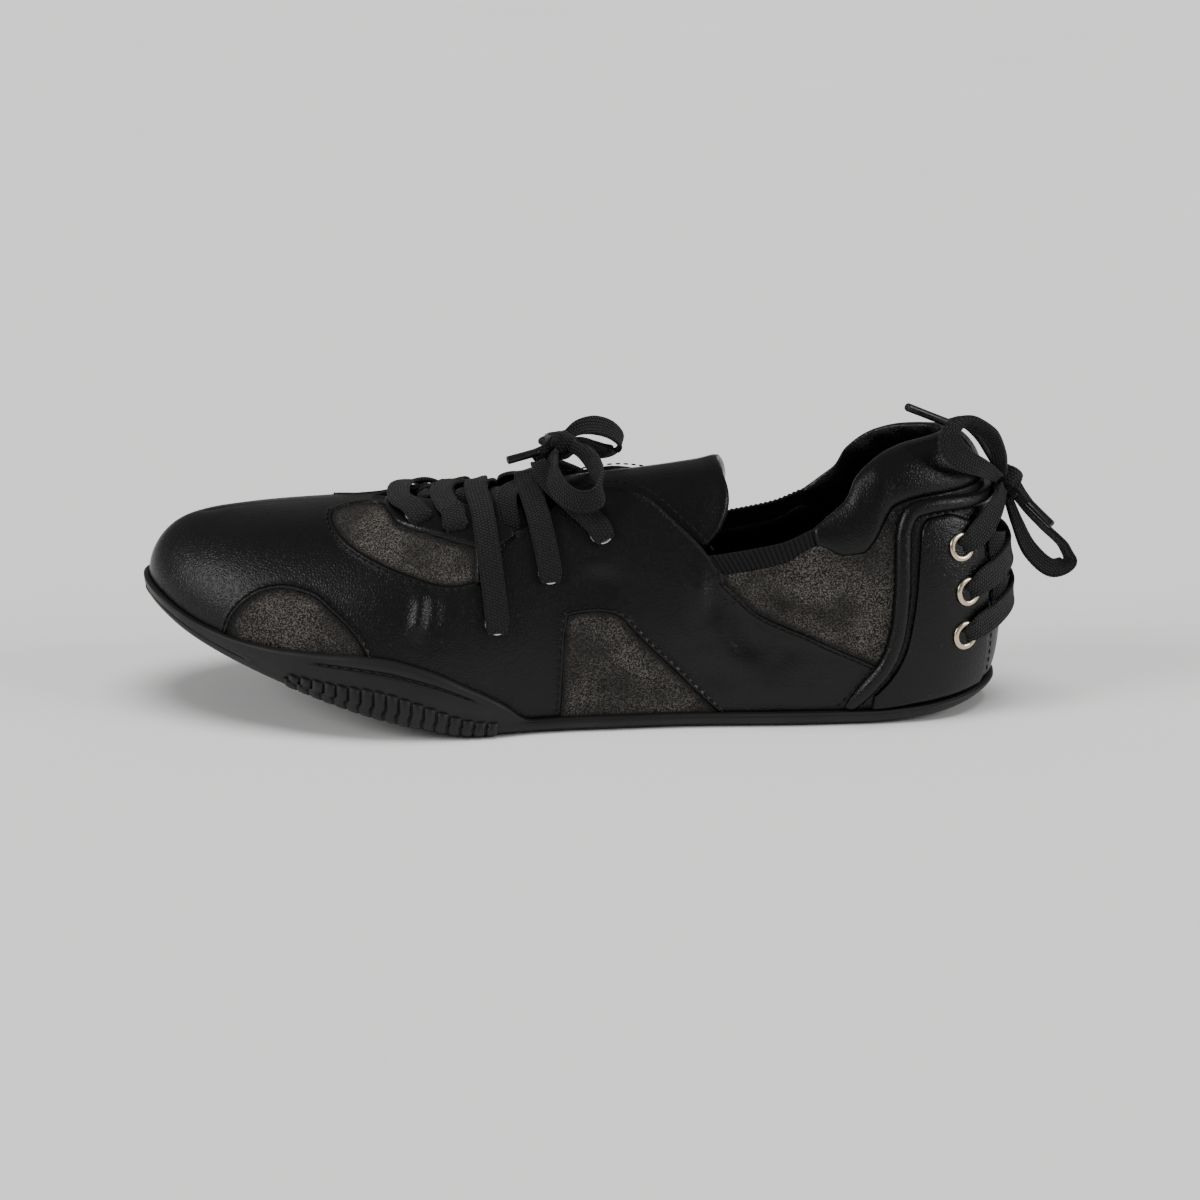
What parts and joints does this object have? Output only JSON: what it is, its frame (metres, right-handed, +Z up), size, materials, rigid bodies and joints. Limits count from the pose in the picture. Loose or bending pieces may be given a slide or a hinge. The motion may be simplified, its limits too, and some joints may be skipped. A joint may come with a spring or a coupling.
{
  "type": "lace-up shoe",
  "caption": "Low soft leather lace-up shoe with an open throat, elastic topline, padded collar, laced heel and thin rubber cup sole with a large toe spring",
  "frame": {"origin": "middle of the box of the shoe without its bows, on the floor", "axes": "toe towards -X, heel towards +X, outer side towards -Y, inner side towards +Y, Z up"},
  "size_m": [0.2928, 0.0969, 0.0979],
  "materials": {
    "leather": "soft black nappa with a fine grain and grey suede panels",
    "rubber": "satin black rubber",
    "lining": "thin black lining leather",
    "elastic": "black ribbed elastic",
    "lace": "flat woven black cotton",
    "nickel": "pale champagne nickel",
    "steel": "bright steel",
    "tip": "dark smooth plastic"
  },
  "bodies": {
    "root": {"outsole": "rubber", "insole": "lining", "upper": "leather", "tongue": "leather", "collar_pad": "leather", "elastic_outer": "elastic", "elastic_inner": "elastic", "facing_outer": "leather", "facing_inner": "leather", "counter_outer": "leather", "counter_inner": "leather", "heel_roll": "leather", "throat_eyelet_outer_1": "steel", "throat_eyelet_outer_2": "steel", "throat_eyelet_outer_3": "steel", "throat_eyelet_outer_4": "steel", "throat_eyelet_outer_5": "steel", "heel_eyelet_outer_1": "nickel", "heel_eyelet_outer_2": "nickel", "heel_eyelet_outer_3": "nickel", "throat_eyelet_inner_1": "steel", "throat_eyelet_inner_2": "steel", "throat_eyelet_inner_3": "steel", "throat_eyelet_inner_4": "steel", "throat_eyelet_inner_5": "steel", "heel_eyelet_inner_1": "nickel", "heel_eyelet_inner_2": "nickel", "heel_eyelet_inner_3": "nickel", "throat_cross_1": "lace", "throat_cross_2": "lace", "throat_cross_3": "lace", "throat_bar": "lace", "throat_lace_outer": "lace", "throat_lace_inner": "lace", "heel_cross_2": "lace", "heel_cross_1": "lace", "heel_lace_outer": "lace", "heel_lace_inner": "lace", "throat_knot": "lace", "heel_knot": "lace", "throat_loop_near": "lace", "throat_loop_far": "lace", "throat_end_front": "lace", "throat_end_near": "lace", "heel_loop_upper": "lace", "heel_loop_lower": "lace", "heel_end_upper": "lace", "heel_end_lower": "lace", "throat_tip_front": "tip", "throat_tip_near": "tip", "heel_tip_upper": "tip", "heel_tip_lower": "tip"}
  },
  "joints": []
}
